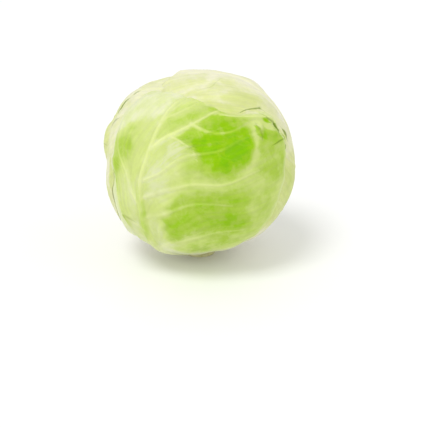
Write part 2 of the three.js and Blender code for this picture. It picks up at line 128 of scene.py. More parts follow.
FRONT_VEINS = [  # how plainly a vein shows, and its line
    (0.8, [(-13, 16), (-4, 24), (7, 30), (17, 37), (25, 44), (34, 53), (40, 58)]),
    (0.65, [(17, 38), (27, 34), (36, 33), (46, 35), (55, 40), (63, 48)]),
    (0.45, [(-20, -12), (-4, -4), (8, 6), (20, 13), (32, 16), (44, 20), (57, 30), (65, 35)]),
    (0.5, [(-9, 35), (-3, 41), (3, 44.5), (9, 49.5), (16, 56)]),
    (0.6, [(-21, -27), (-4, -20), (9, -15), (24, -10), (50, -8), (80, 6)]),
    (0.4, [(-21, -46), (2, -38), (24, -28), (58, -28)]),
    (0.5, [(-18, -84), (6, -70), (40, -60), (70, -56)]),
    (0.55, [(-22, -38), (-33, -23), (-38, -7), (-46, 9), (-50, 24)]),
    (0.55, [(-23, -58), (-45, -47), (-50, -28), (-54, -12)]),
    (0.5, [(-20, -84), (-36, -66), (-48, -50)]),
]
PLAIN_VEIN = 0.5
VEIN_FAN = (-90.0, 60.0, 72.0, 34.0, 0.1)  # first and last y, first and last turn, bend

# Soft ridges where a blade is gathered: line, height, and reach to the left and to the right.
FRONT_FOLDS = [
    ([(-5, 26), (3, 26), (9, 23.5), (15, 20.5), (20, 18), (24, 14), (27, 8), (28.5, 1),
      (28, -8)], 3.4, 4.5, 28),
    ([(30, 45), (41, 48), (54, 51.5), (68, 55.5), (79, 58.5), (90, 59.5), (97, 56), (99, 47)], 1.8, 8, 4),
    ([(70, 54), (75, 47), (76, 38), (74, 26)], 1.2, 5, 3),
    ([(80, 40), (90, 44), (98, 42)], 1.2, 6, 4),
]
CROWN_FOLDS = [
    ([(-58, 72), (-50, 68), (-43, 62), (-37, 55), (-32, 46), (-29, 36)], 1.6, 16, 7),
    ([(-56, 112), (-46, 101), (-41, 95), (-31, 93), (-23, 90), (-13, 85)], 0.8, 9, 5),
]
FLANK_FOLDS = [([(40, 24), (46, 10), (51, -4), (53, -16)], 2.2, 12, 20)]

# Patches of a leaf that are greener (+) or paler (-) than its middle: outline, softness of its edge (or two,
# at the first corner and at the far side) and amount.
FRONT_PATCHES = [
    # The deep green patch right of the rib.
    ([(27, 46), (36, 50), (46, 50.5), (54, 51.5), (64, 53), (66.5, 46), (67, 36), (66, 27), (60, 10),
      (48, -2), (38, -2), (31, 5), (27, 10), (24, 15.5), (20, 19.5), (15, 22), (9, 25), (8, 26.5),
      (14, 31), (20, 39)], (1.8, 12), 0.36),
    ([(38, 40), (50, 42), (60, 43), (67, 36), (68, 22), (62, 4), (48, -4), (38, 2), (30, 12), (24, 17),
      (17, 21), (14, 26), (24, 33)], (5, 12), 0.22),
    ([(36, 33), (50, 36), (57, 39), (63, 41), (66, 34), (63, 14), (52, 6), (38, 6), (30, 13), (24, 20),
      (24, 30)], (3, 12), 0.26),
    ([(30, 35), (24, 38), (24, 44), (30, 48), (40, 50), (52, 50), (54, 45), (47, 40), (38, 36)], 2.5, 0.12),
    ([(56, 29.5), (66, 35.5), (68.5, 30), (66, 18), (56, 8), (47, 12), (46, 22)], (1.5, 9), 0.6),
    # Between the upper veins.
    ([(-7, 33), (-2, 43), (4, 52), (14, 58), (28, 58), (38, 54), (32, 50), (24, 44), (16, 38), (6, 31),
      (-4, 25), (-11, 22)], (1.2, 4), 0.14),
    ([(8, 43), (18, 50), (27, 52), (34, 52), (28, 47), (20, 43), (12, 38), (4, 38)], 4, 0.06),
    ([(0, 46), (4, 50), (8, 48), (4, 42), (-2, 38), (-4, 42)], (2, 4), 0.1),
    # Left of the rib.
    ([(-20, 20), (-20, 30), (-30, 33), (-42, 24), (-52, 19), (-58, 12), (-56, -6), (-46, -6), (-34, 2),
      (-26, 10)], (8, 5), 0.1),
    ([(-49, 21), (-38, 25), (-31, 21), (-29, 14), (-33, 8), (-41, 5), (-49, 8), (-52, 14)], 5, 0.22),
    ([(-37, 31), (-33, 34), (-27, 33), (-29, 27), (-34, 26)], 4, 0.14),
    ([(-55, 6), (-47, 5), (-44, -3), (-46, -14), (-50, -28), (-60, -30), (-62, -6)], 6, 0.2),
    # The lower panels.
    ([(2, -34), (10, -24), (24, -17), (42, -15), (62, -16), (70, -24), (50, -32), (26, -36), (8, -38)],
      (5, 10), 0.44),
    ([(-1, -46), (8, -40), (26, -34), (50, -33), (68, -36), (70, -50), (44, -58), (20, -64), (2, -72)],
      (6, 12), 0.46),
    ([(4, -84), (20, -72), (42, -64), (60, -64), (58, -80), (36, -96), (12, -98)], (9, 16), 0.36),
    ([(4, -12), (14, -14), (16, -28), (6, -34), (0, -24)], 4, 0.1),
    ([(16, 13), (24, 12), (29, 4), (30, -8), (26, -18), (18, -18), (15, -2)], (5, 8), 0.2),
    # The pale upper left, the left edge and the rib's foot.
    ([(-7, 46), (-3, 55), (0, 66), (-15, 74), (-38, 74), (-51, 62), (-64, 50), (-64, 28), (-54, 26),
      (-44, 29), (-32, 37), (-13, 40)], (4, 8), -0.14),
    ([(-69, 44), (-57, 44), (-55, 20), (-56, 4), (-56, -10), (-69, -10)], 3, -0.26),
    ([(-58, -32), (-50, -34), (-47, -42), (-42, -54), (-46, -66), (-60, -44)], 4, 0.22),
    # Painted shade: a greener strip down the rib's foot, for the shadow beside its right flank.
    ([(-24, -18), (-21, -20), (-20, -50), (-21, -70), (-26, -60)], 2.5, 0.36),
    # The right end, with its pocket and flap.
    ([(74, 26), (74, 34), (77, 39), (84, 40), (82, 31), (78, 22)], (2, 3), 0.12),
    ([(80, 55), (88, 54), (94, 51), (99, 46), (106, 40), (114, 22), (108, 0), (80, 4), (76, 28),
      (77, 44)], (3, 9), 0.28),
    ([(78, 44), (90, 45), (101, 44), (101, 37), (87, 35), (79, 35)], 3, 0.2),
    # Painted shade: the next two greener slivers, in the pocket under the top creases and beside the crease
    # at its left.
    ([(78, 57.5), (81.5, 57.5), (85.5, 56.5), (89, 56), (85, 54.4), (80.5, 53.8)], 0.9, 0.5),
    ([(70.5, 48), (72.5, 46.5), (75, 42), (77.3, 36), (75.5, 35.5), (72.5, 40), (70.3, 44.5)], 1, 0.45),
    ([(77, 37.5), (82, 38), (87, 37.5), (85, 36), (79, 35.4)], 1.2, 0.14),
    ([(79.5, 52.5), (84, 53.5), (90, 53), (90.5, 47.5), (86, 44.5), (81, 47)], 2, -0.2),
    # The upper edge, and the lower right.
    ([(46, 54), (62, 58), (76, 63), (92, 61), (92, 66), (76, 70), (60, 64), (48, 60)], 3, -0.08),
    ([(24, 56), (32, 60), (44, 57), (56, 60), (62, 62), (56, 56), (44, 52.5), (34, 55)], 2, 0.18),
    ([(60, 0), (100, 0), (104, -40), (84, -78), (50, -70), (56, -30)], 16, 0.2),
    # Small touches.
    ([(-61, -8), (-54, -8), (-51, -26), (-55, -30), (-61, -28)], 2.5, 0.2),
    ([(-57, -40), (-48, -40), (-45, -50), (-56, -50)], 3, 0.15),
    ([(-44, 47), (-22, 47), (-16, 43), (-18, 39), (-32, 37), (-44, 39)], 4, 0.03),
    ([(4, -19), (24, -15), (29, -26), (16, -34), (4, -32)], 4, -0.12),
    ([(22, 37), (30, 39.5), (40, 38.5), (42, 34), (28, 32)], 2, 0.12),
    ([(8, 44), (18, 48), (22, 42), (14, 36), (8, 38)], 3, 0.08),
    ([(28, 56), (36, 58), (42, 55), (36, 51), (29, 52)], 2, 0.12),
    ([(-50, 70), (-26, 72), (-26, 63), (-38, 61), (-50, 61)], 3, 0.1),
]
CROWN_PATCHES = [
    ([(-52, 82), (-36, 74), (-30, 62), (-34, 54), (-46, 54), (-54, 68)], 6, 0.22),
    ([(-52, 71), (-45, 68), (-40, 60), (-36, 50), (-42, 52), (-50, 60)], 3, -0.08),
    ([(-64, 112), (-42, 104), (-28, 101), (-8, 98), (-8, 92), (-30, 97), (-44, 99), (-62, 102)], 4, -0.1),
    ([(-16, 20), (-17, 60), (-13, 90), (-2, 104), (4, 124), (24, 124), (24, 20)], 7, -0.14),
    ([(-70, -60), (-30, -70), (-24, -20), (-60, 0), (-84, -20)], 14, 0.25),
    ([(20, -50), (60, -50), (76, -10), (60, 30), (26, 10)], 14, 0.3),
    ([(10, 60), (40, 50), (60, 80), (30, 100)], 12, 0.2),
    ([(-72, 92), (-62, 92), (-59, 78), (-55, 62), (-62, 56), (-74, 70)], 3, 0.16),
    ([(-58, 114), (-50, 112), (-48, 104), (-56, 98)], 3, 0.14),
]
FLANK_PATCHES = [
    ([(-70, -40), (-20, -60), (-16, 0), (-50, 30), (-80, 10)], 14, 0.3),
    ([(14, -40), (50, -50), (60, -10), (30, 30), (12, 10)], 14, 0.22),
    ([(-50, 50), (-10, 40), (-6, 90), (-40, 96)], 14, 0.2),
    ([(30, -30), (60, -44), (72, -10), (60, 14), (40, 8)], 8, 0.14),
    ([(78, 2), (92, -4), (92, -34), (78, -36), (75, -16)], 3, 0.24),
    ([(54, 6), (62, 4), (74, -8), (72, -30), (64, -26), (57, -10)], 5, -0.12),
]
# Silky pale wisps over a blade, in the same terms.
FRONT_WISPS = [
    ([(-12, 14), (3, 25), (15, 20), (24, 14), (24, 2), (16, -10), (-2, -16), (-16, -14)], 5, 0.6),
    ([(8, 24), (18, 19.5), (24, 14), (26, 6), (20, 9), (12, 15), (5, 20)], 2.5, 0.35),
    ([(-50, 34), (-30, 30), (-14, 36), (-4, 56), (-14, 68), (-40, 64)], 8, 0.05),
]
# Where a blade's streaks are fainter, in the same terms.
FRONT_CALM = [([(-58, 28), (-30, 27), (-16, 34), (-4, 56), (-8, 74), (-60, 74)], 8, 0.5)]
# Tight creases, with shade painted along them: a line, how high its left and right side stand, the half width
# of the painted shade at its start, middle and end, and how dark that is.
FRONT_CREASES = [
    ([(75.5, 63.5), (77.5, 61), (79.8, 59.3), (82, 58)], 0.4, 0.2, (0.2, 0.9, 0.9), 0.4),
    ([(80.5, 58), (84, 57.2), (88.5, 57), (92, 57.3)], 0.8, 0.3, (0.8, 1.1, 0.9), 0.55),
    ([(91.3, 57.6), (94, 55.6), (96, 52.6), (98, 47)], 1.4, 0.3, (1.3, 2.3, 0.7), 0.9),
    ([(71.5, 48), (73.4, 45.3), (75.2, 42.4), (76.6, 38.8), (78.3, 35.8)], 0.6, 1.2, (0.6, 2.0, 0.8), 0.4),
    ([(92, 32), (96.2, 35.3), (99.8, 38.1), (104, 40.6)], 0.8, 0.2, (0.5, 1.4, 0.8), 0.7),
    ([(107.5, 47), (110, 44.5), (112, 41)], 0.5, 0.2, (0.8, 1.5, 0.8), 0.6),
    ([(109, 37), (110, 33.5), (111, 30)], 0.6, 0.2, (0.6, 1.7, 0.8), 0.6),
    ([(-54, -46.5), (-49.5, -47.8), (-43.7, -48.6), (-37.5, -50),
      (-32, -52.5)], 0.5, 0.1, (0.6, 2.2, 0.6), 0.22),
]
CROWN_CREASES = [
    ([(-60, 61.5), (-54.4, 59), (-48.7, 55.3), (-43.8, 51.6),
      (-39.8, 49)], 0.3, 1.0, (0.4, 1.2, 1.7), 0.85),
    ([(-39.6, 48), (-39.8, 44.5), (-40.8, 39.5), (-40, 34)], 0.5, 0.1, (0.7, 0.6, 0.2), 0.25),
    ([(-50, 106), (-46, 100), (-41, 95), (-31, 93), (-22, 90)], 0.2, 0.1, (0.3, 1.0, 0.3), 0.16),
    ([(-35, 21), (-34.2, 17.8), (-33.6, 15), (-34.4, 12)], 0.5, 0.1, (0.6, 3.2, 1.2), 0.9),
]
FLANK_CREASES = [
    ([(41, 30), (36, 36), (33, 41), (32, 46)], 0.8, 0.2, (0.5, 2.8, 0.6), 0.85),
    ([(33, 51), (34, 55), (34, 61)], 0.6, 0.1, (0.4, 1.8, 0.4), 0.5),
    ([(52, 22), (51.8, 25), (52.5, 29.5), (56, 36)], 0.5, 0.1, (0.6, 1.8, 0.5), 0.45),
    ([(49, 2), (54, 4), (58, 5.5)], 0.5, 0.1, (0.3, 0.8, 0.3), 0.4),
]
CREASE_REACH = 6.0
# Sharp crest lines, each with a pale highlight painted along it: how plainly that shows, and its line.
FRONT_HIGHLIGHT_CRESTS = [
    (0.75, [(38, 50), (44, 50.5), (54, 52.5), (68, 56), (79, 59), (90, 60)]),
    (0.7, [(0, 27), (9, 24), (15, 21), (20, 18.5), (24, 14.5), (26, 10)]),
    (0.8, [(80, 59.5), (90, 60.5), (95, 58.5), (98.5, 54), (100, 45)]),
    (0.3, [(73, 52), (76, 48), (78, 45)]),
]
CROWN_HIGHLIGHT_CRESTS = [(0.6, [(-6, 133), (3, 122), (6, 106), (5, 96), (6, 82)])]

# A blade's colours from palest to greenest, then its veins, whose colour is also each crest's painted
# highlight, and the shade painted in its creases.
PALE = dict(ramp=[(240, 238, 206), (217, 224, 150), (190, 211, 105), (150, 192, 44), (134, 186, 20)],
            vein=(237, 239, 188), crease=(130, 152, 56))
GREEN = dict(ramp=[(234, 236, 200), (209, 223, 136), (174, 204, 74), (148, 198, 8), (132, 193, 0)],
             vein=(232, 240, 166), crease=(120, 150, 34))
INNER = dict(ramp=[(238, 241, 208), (228, 236, 178), (205, 222, 130), (165, 200, 70), (150, 190, 50)],
             vein=(238, 242, 205), crease=(120, 140, 60))

DEEP_VEIN = (210, 232, 96)  # veins across the greenest places
# Shade painted where the finest streaks dip: its colour and how dark it gets.
SHADE, FURROW_DARKNESS = (60, 70, 20), 0.115  # between the finest streaks
TONE_STEPS = [(0.0, 0.3), (0.25, 0.65), (0.6, 1.0), (1.0, 1.4)]  # where a shade turns into the next one
CLOUD, SPECK, MOTTLE = (60, 4, 0.6), (420, 2, 0.6), (130, 3, 0.55)  # noises: scale, detail, roughness
CLOUD_TONE, MOTTLE_TONE, GREEN_FROM = 0.06, 0.36, 0.35  # places greener than the last are mottled
TONE_SHIFTS = {"grain": -0.02, "fine_grain": -0.015, "base": -0.22, "halo": -0.16}
NET_TINT, EDGE_PALENESS, SPECK_SHARE = 0.02, 0.3, 0.04
WAX_ROUGHNESS, WISP_START = (0.42, 0.56), 0.03
BASE_REACH = (40, 125)  # how far below a pattern's middle its base turns pale


# ---- Small mathematics ----

def columns(*parts):
    return np.stack(parts, axis=1)


def smoothstep(x, low, high):
    t = np.clip((x - low) / (high - low), 0.0, 1.0)
    return t * t * (3 - 2 * t)


def fade(x, low, high):
    return 1 - smoothstep(x, low, high)


def lerp(a, b, t):
    return a + (b - a) * t


def grid(a, b):
    return (g.ravel() for g in np.meshgrid(a, b, indexing="ij"))


def direction_at(compass, latitude):
    turn, rise = math.radians(compass), math.radians(latitude)
    level = math.cos(rise)
    return np.array([math.sin(turn) * level, -math.cos(turn) * level, math.sin(rise)])


def smooth_line(points, step):
    """Evenly spaced points on a centripetal Catmull-Rom curve, and its length."""
    p = np.array(points, float)
    p = np.vstack([2 * p[0] - p[1], p, 2 * p[-1] - p[-2]])
    t = np.linspace(0, 1, 60, endpoint=False)[:, None]
    dense = []
    for a, b, c, d in zip(p, p[1:], p[2:], p[3:]):
        before, between, after = (math.sqrt(np.linalg.norm(v - u)) for u, v in ((a, b), (b, c), (c, d)))
        leave = ((b - a) / before - (c - a) / (before + between) + (c - b) / between) * between
        arrive = ((c - b) / between - (d - b) / (between + after) + (d - c) / after) * between
        cubic = 2 * b - 2 * c + leave + arrive
        square = -3 * b + 3 * c - 2 * leave - arrive
        dense.append(b + leave * t + square * t ** 2 + cubic * t ** 3)
    dense = np.vstack(dense + [p[-2:-1]])
    travelled = np.concatenate([[0], np.cumsum(np.linalg.norm(np.diff(dense, axis=0), axis=1))])
    count = max(2, round(travelled[-1] / step))
    at = np.linspace(0, travelled[-1], count + 1)
    line = columns(*(np.interp(at, travelled, dense[:, k]) for k in (0, 1)))
    return line, travelled[-1]


def signed_depth(ring, p):
    """Distance in from a closed ring, negative outside it, and how far round it the nearest place is."""
    closed = np.vstack([ring, ring[:1]])
    distance, _, along = nearest_on_line(closed, p)
    inside = np.zeros(len(p), bool)
    for (ax, ay), (bx, by) in zip(closed, closed[1:]):
        if ay != by:
            spans = (ay > p[:, 1]) != (by > p[:, 1])
            inside ^= spans & (p[:, 0] < ax + (p[:, 1] - ay) * (bx - ax) / (by - ay))
    return np.where(inside, distance, -distance), along


def nearest_on_line(line, p, reach=None):
    """For each place: its distance from the line, its side (+1 is left) and how far along that is."""
    distance, side, along = (np.full(len(p), value) for value in (1e6, 1.0, 0.0))
    for n, (a, b) in enumerate(zip(line, line[1:])):
        near = slice(None)
        if reach is not None:
            low, high = np.minimum(a, b) - reach, np.maximum(a, b) + reach
            near = np.flatnonzero(np.all((p > low) & (p < high), axis=1))
            if not len(near):
                continue
        d = b - a
        off = p[near] - a
        share = np.clip((off @ d) / (d @ d), 0, 1)
        gap = np.hypot(off[:, 0] - share * d[0], off[:, 1] - share * d[1])
        better = gap < distance[near]
        distance[near] = np.where(better, gap, distance[near])
        turn = np.where(d[0] * off[:, 1] - d[1] * off[:, 0] >= 0, 1.0, -1.0)
        side[near] = np.where(better, turn, side[near])
        along[near] = np.where(better, (n + share) / (len(line) - 1), along[near])
    return distance, side, along


def waves(at, seed, sizes, level=0.0):
    """Sine waves of given heights, paces and phases, added to a level."""
    return sum((height * np.sin(at * pace + seed * phase) for height, pace, phase in sizes), level)


def value_noise(p, size, seed):
    """Smooth noise from -1 to 1, whose lumps are about as wide as size."""
    lattice = np.random.default_rng(seed).uniform(-1, 1, (128, 128))
    q = p / size + 1000
    home = np.floor(q).astype(int)
    t = smoothstep(q - home, 0, 1)
    (i, j), (u, v) = home.T % 128, t.T
    k, m = (i + 1) % 128, (j + 1) % 128
    return lerp(lerp(lattice[i, j], lattice[k, j], u), lerp(lattice[i, m], lattice[k, m], u), v)


def cell_net(p, size, seed):
    """Distance, in cells, to the line between the two nearest seeds of a jittered net."""
    jitter = np.random.default_rng(seed).random((64, 64, 2))
    q = p / size + 1000
    home = np.floor(q).astype(int)
    best = np.full((2, len(p)), 9.0)
    for dx in (-1, 0, 1):
        for dy in (-1, 0, 1):
            cell = home + (dx, dy)
            place = cell + 0.1 + 0.8 * jitter[cell[:, 0] % 64, cell[:, 1] % 64]
            gap = np.linalg.norm(place - q, axis=1)
            best[1] = np.minimum(best[1], np.maximum(gap, best[0]))
            best[0] = np.minimum(best[0], gap)
    return best[1] - best[0]


# ---- Leaves ----

def round_outline(left, right, height):
    half = [(x, y * height if y > 0 else y) for x, y in ROUND_HALF]
    tip = (0, ROUND_TIP * height)
    return [(-x * left, y) for x, y in half] + [tip] + [(x * right, y) for x, y in half[::-1]]


def paired_veins(count, length):
    first_y, last_y, first_turn, last_turn, bend = VEIN_FAN
    veins = []
    for n in range(count):
        up = n / (count - 1)
        side = (1, -1)[n % 2]
        y = lerp(first_y, last_y, up)
        reach = length * (0.7 + 0.45 * math.sin(math.pi * lerp(0.2, 0.85, up)))
        turn = math.radians(lerp(first_turn, last_turn, up))
        points = [(0, y)]
        for share, bent in ((0.5, 0), (1, bend)):
            x = side * reach * share * math.sin(turn - bent)
            points.append((x, y + reach * share * math.cos(turn - bent)))
        veins.append((PLAIN_VEIN, points))
    return veins


def twigs_of(line, length, spacing, reach, rng):
    """Small veins that leave a vein by turns on its two sides and bend towards its tip."""
    twigs = []
    side = rng.choice([-1, 1])
    at = spacing * 0.6
    while at < length - spacing * 0.3:
        n = min(int(at / length * (len(line) - 1)), len(line) - 2)
        ahead = line[n + 1] - line[n]
        heading = math.atan2(ahead[1], ahead[0]) + side * math.radians(rng.uniform(*TWIG_TURN))
        size = reach * rng.uniform(*TWIG_SIZE)
        start = line[n]
        points = [start]
        for share, bend in TWIG_CURVE:
            turn = heading - side * bend + rng.uniform(-0.08, 0.08)
            points.append(start + size * share * np.array([math.cos(turn), math.sin(turn)]))
        twigs.append(points)
        side = -side
        at += spacing * rng.uniform(*TWIG_STRIDE)
    return twigs


class Leaf:
    """A loose leaf: its pattern, its place on the head and what shows on it."""

    def __init__(self, layer, layers, outline, colours=INNER, rib=STRAIGHT_RIB, veins=(), folds=(),
                 creases=(), highlight_crests=(), patches=(), wisps=(), calm=(), pattern_turn=0, grip_turn=0,
                 cells=120, base_tone=0.3, slot="inner_leaf"):
        self.layer, self.colours, self.cells, self.slot = layer, colours, cells, slot
        self.name = f"wrapper_leaf_{layer + 1}"
        self.seed = layer + 1
        self.patches, self.wisps, self.calm, self.base_tone = patches, wisps, calm, base_tone
        compass = OUTER_COMPASS + GOLDEN_TURN * (layers - 1 - layer) + pattern_turn
        self.forward = direction_at(compass, PATTERN_LATITUDE)
        self.up = direction_at(compass, PATTERN_LATITUDE + 90)
        self.across = direction_at(compass + 90, 0)
        grip = self.stem_edge(compass + grip_turn)
        self.edge = np.vstack([self.waved_edge(outline, EDGE_STEP), grip])
        self.fine_edge = np.vstack([self.waved_edge(outline, EDGE_STEP / 5), grip])
        self.rib, _ = smooth_line(rib, LINE_STEP)
        self.folds = [(smooth_line(line, LINE_STEP)[0], *sizes) for line, *sizes in folds]
        self.creases = [(smooth_line(line, CREASE_STEP)[0], *sizes) for line, *sizes in creases]
        self.highlight_crests = [(plainness, smooth_line(line, CREST_STEP)[0]) for plainness, line in highlight_crests]
        rng = np.random.default_rng(TWIG_SEED + layer)
        self.veins, self.twigs = [], []
        for plainness, points in veins:
            line, length = smooth_line(points, LINE_STEP)
            self.veins.append((plainness, line))
            for twig in twigs_of(line, length, *TWIG_FAN, rng):
                twig_line, twig_length = smooth_line(twig, LINE_STEP)
                self.twigs.append((TWIG_PLAINNESS, twig_line))
                for small in twigs_of(twig_line, twig_length, *SMALL_TWIG_FAN, rng):
                    self.twigs.append((TWIG_PLAINNESS, smooth_line(small, SMALL_TWIG_STEP)[0]))
        self.headings = self.vein_headings()

    def waved_edge(self, outline, step):
        """The outline smoothed, with waves that die away towards the base."""
        arch, length = smooth_line(outline, step)
        stride = length / max(2, round(length / EDGE_STEP))
        n = np.linspace(0, length, len(arch)) / stride
        calm = smoothstep(arch[:, 1], *EDGE_CALM)
        wave = waves(n, self.seed, EDGE_WAVES)
        if step < EDGE_STEP:
            wave += waves(n, self.seed, FINE_EDGE_WAVES)
        reach = np.maximum(np.linalg.norm(arch, axis=1), PATTERN_RADIUS / 2)
        return arch * (1 + calm * wave / reach)[:, None]

    def stem_edge(self, compass):
        """The short edge that clasps the stem."""
        reach = HEART_DOWN + (self.layer + 0.5) * (BASE_BLADE + LAYER_GAP)
        polar = math.degrees(math.asin((STEM_TOP + GRIP_GAP) / reach))
        turns = [GRIP_TURN * (1 - 2 * (n + 0.5) / GRIP_POINTS) for n in range(GRIP_POINTS)]
        return self.to_pattern(np.array([direction_at(compass + turn, polar - 90) for turn in turns]))

    def to_direction(self, p):
        reach = np.hypot(p[:, 0], p[:, 1])
        angle = reach / PATTERN_RADIUS
        sideways = np.where(reach > 1e-9, np.sin(angle) / np.maximum(reach, 1e-9), 0)
        return (np.cos(angle)[:, None] * self.forward + (p[:, :1] * sideways[:, None]) * self.across
                + (p[:, 1:] * sideways[:, None]) * self.up)

    def to_pattern(self, direction):
        angle = np.arccos(np.clip(direction @ self.forward, -1, 1))
        x, y = direction @ self.across, direction @ self.up
        scale = angle * PATTERN_RADIUS / np.maximum(np.hypot(x, y), 1e-12)
        return columns(x * scale, y * scale)

    def depth(self, p, fine=False):
        """Distance in from the edge: negative outside the leaf."""
        return signed_depth(self.fine_edge if fine else self.edge, p)[0]

    def blade(self, p):
        return lerp(BASE_BLADE, BLADE, smoothstep(p[:, 1], *THICK_BASE))

    def lift(self, direction):
        """How far this leaf raises a later one, and how much of that is air beyond its own edge."""
        p = self.to_pattern(direction)
        depth = self.depth(p)
        lift = (self.blade(p) + LAYER_GAP) * smoothstep(depth, -COVER_NONE, -COVER_FULL)
        return lift, lift * fade(depth, -8, -1)

    def ridge(self, line, size, p):
        """Height of a rib or vein, and how much of its colour a place has."""
        base_width, tip_width, taper, base_height, tip_height = size
        distance, _, along = nearest_on_line(line, p, reach=1.5 * base_width + 1)
        half = lerp(base_width, tip_width, along ** taper)
        shape = fade(distance, 0.15 * half, half)
        tint = fade(distance, 0.3 * half, 1.1 * half + 0.2)
        return lerp(base_height, tip_height, along) * shape, tint * lerp(1.0, 0.6, along)

    def swell(self, p):
        across = np.sin(p[:, 0] / BLISTER_ACROSS + self.seed)
        along = np.sin(p[:, 1] / BLISTER_ALONG + 2 * self.seed)
        return BLISTER * (1 + across * along)

    def fold_height(self, p):
        total = np.zeros(len(p))
        for line, height, left, right in self.folds:
            distance, side, along = nearest_on_line(line, p)
            ends = smoothstep(along, 0, 0.3) * smoothstep(1 - along, 0, 0.3)
            total += height * ends * fade(distance / np.where(side > 0, left, right), 0, 1)
        return total

    def margin_lift(self, p, depth):
        turn = np.arctan2(p[:, 0], p[:, 1])
        wave = waves(turn, self.seed, LIFT_WAVES, LIFT_LEVEL)
        calm = smoothstep(p[:, 1], *LIFT_CALM)
        return MARGIN_LIFT * fade(depth, 0, MARGIN_REACH) * wave * calm

    def creased(self, p):
        """How far the crease sides stand, and the nearest crease's distance, half width and painted shade."""
        stand, across, width, dark = (np.full(len(p), value) for value in (0.0, CREASE_REACH, 0.0, 0.0))
        for line, left, right, widths, darkness in self.creases:
            distance, side, along = nearest_on_line(line, p, reach=CREASE_REACH)
            ends = smoothstep(along, 0, 0.25) * smoothstep(1 - along, 0, 0.2)
            height = np.where(side > 0, left, right)
            stand += height * ends * fade(distance, 0.2 * CREASE_REACH, CREASE_REACH)
            near = distance < np.abs(across)
            across = np.where(near, side * distance, across)
            drawn = np.interp(along, (0.0, 0.5, 1.0), widths) * fade(distance, 2.5, 4)
            width, dark = np.where(near, drawn, width), np.where(near, darkness, dark)
        return stand, across, width, dark

    def spread(self, patches, p, start):
        """The patches of one kind added up, with edges that wander a little."""
        wandered = p + sum(reach * self.wander(p, size, PATCH_SEEDS) for size, reach in PATCH_WANDER)
        total = np.full(len(p), start)
        for outline, softness, amount in patches:
            ring = smooth_line(outline + outline[:1], CREST_STEP)[0][:-1]
            depth, along = signed_depth(ring, wandered)
            near, far = np.broadcast_to(softness, 2)
            softness = lerp(near, far, 0.5 - 0.5 * np.cos(2 * math.pi * along))
            total += amount * smoothstep(depth / softness, -1, 1)
        return total

    def wander(self, p, size, seeds):
        return columns(*(value_noise(p, size, seed + self.seed) for seed in seeds))

    def vein_headings(self):
        """The way that the ribs and veins run, on a lattice over the pattern."""
        axis = np.arange(-LATTICE_HALF, LATTICE_HALF + 1) * LATTICE_STEP
        p = columns(*grid(axis, axis))
        total = np.zeros((len(p), 2))
        for line in [self.rib] + [line for _, line in self.veins]:
            distance, _, along = nearest_on_line(line, p)
            pieces = np.diff(line, axis=0)
            headings = pieces[np.minimum((along * len(pieces)).astype(int), len(pieces) - 1)]
            headings = headings / np.linalg.norm(headings, axis=1)[:, None]
            total += headings / (distance[:, None] ** 2 + 6)
        total /= np.maximum(np.linalg.norm(total, axis=1), 1e-9)[:, None]
        return total.reshape(len(axis), len(axis), 2)

    def heading_at(self, p):
        q = np.clip(p / LATTICE_STEP + LATTICE_HALF, 0, 2 * LATTICE_HALF - 1.001)
        home = q.astype(int)
        (i, j), (u, v) = home.T, (q - home).T[:, :, None]
        low = lerp(self.headings[i, j], self.headings[i + 1, j], u)
        high = lerp(self.headings[i, j + 1], self.headings[i + 1, j + 1], u)
        return lerp(low, high, v)

    def grain(self, p, size, reach, seed):
        """Noise drawn out into streaks that run with the veins: about -1 to 1."""
        steps = max(1, round(reach / size))
        seed = seed + self.seed
        total = value_noise(p, size, seed)
        for sense in (1, -1):
            q = p
            for _ in range(steps):
                q = q + sense * size * self.heading_at(q)
                total = total + value_noise(q, size, seed)
        return total / math.sqrt(2 * steps + 1)


LEAF_SPECS = [
    dict(outline=round_outline(0.9, 0.9, 0.96)),
    dict(outline=round_outline(1, 0.95, 1.02), veins=paired_veins(6, 50)),
    dict(outline=round_outline(0.9, 0.95, 0.94), veins=paired_veins(6, 50)),
    dict(colours=PALE, outline=round_outline(1.08, 0.84, 1.06), veins=paired_veins(8, 62), folds=FLANK_FOLDS,
         creases=FLANK_CREASES, patches=FLANK_PATCHES, base_tone=0.12, cells=170, slot="pale_leaf"),
    dict(colours=PALE, outline=CROWN_OUTLINE, veins=paired_veins(9, 64), folds=CROWN_FOLDS,
         creases=CROWN_CREASES, highlight_crests=CROWN_HIGHLIGHT_CRESTS, patches=CROWN_PATCHES, base_tone=0.16, cells=190,
         slot="pale_leaf"),
    dict(colours=GREEN, outline=FRONT_OUTLINE, rib=FRONT_RIB, veins=FRONT_VEINS, folds=FRONT_FOLDS,
         creases=FRONT_CREASES, highlight_crests=FRONT_HIGHLIGHT_CRESTS, patches=FRONT_PATCHES, wisps=FRONT_WISPS,
         calm=FRONT_CALM, base_tone=0.25, pattern_turn=18.0, grip_turn=-10.0, cells=210, slot="green_leaf"),
]
leaves = [Leaf(layer, len(LEAF_SPECS), **spec) for layer, spec in enumerate(LEAF_SPECS)]


# ---- The heart and the layers over it ----

def heart_radius(direction):
    flat = np.hypot(direction[:, 0], direction[:, 1]) / HEART_RADIUS
    tall = np.abs(direction[:, 2]) / np.where(direction[:, 2] > 0, HEART_UP, HEART_DOWN)
    smooth = (flat ** FULLNESS + tall ** FULLNESS) ** (-1 / FULLNESS)
    lumps = sum(height * np.sin(pace * (direction @ np.array(run)) + phase)
                for run, pace, phase, height in LUMPS)
    bulges = sum(height * np.exp((direction @ direction_at(compass, latitude) - 1) / spread)
                 for compass, latitude, spread, height in BULGES)
    return smooth + smoothstep(direction[:, 2], -1, -0.8) * lumps + bulges


def covered(leaf, direction):
    """How deep a place lies under later leaves: negative once clear of them."""
    depths = [other.depth(other.to_pattern(direction)) for other in leaves[leaf.layer + 1:]]
    return np.max(depths, axis=0) if depths else np.full(len(direction), -np.inf)


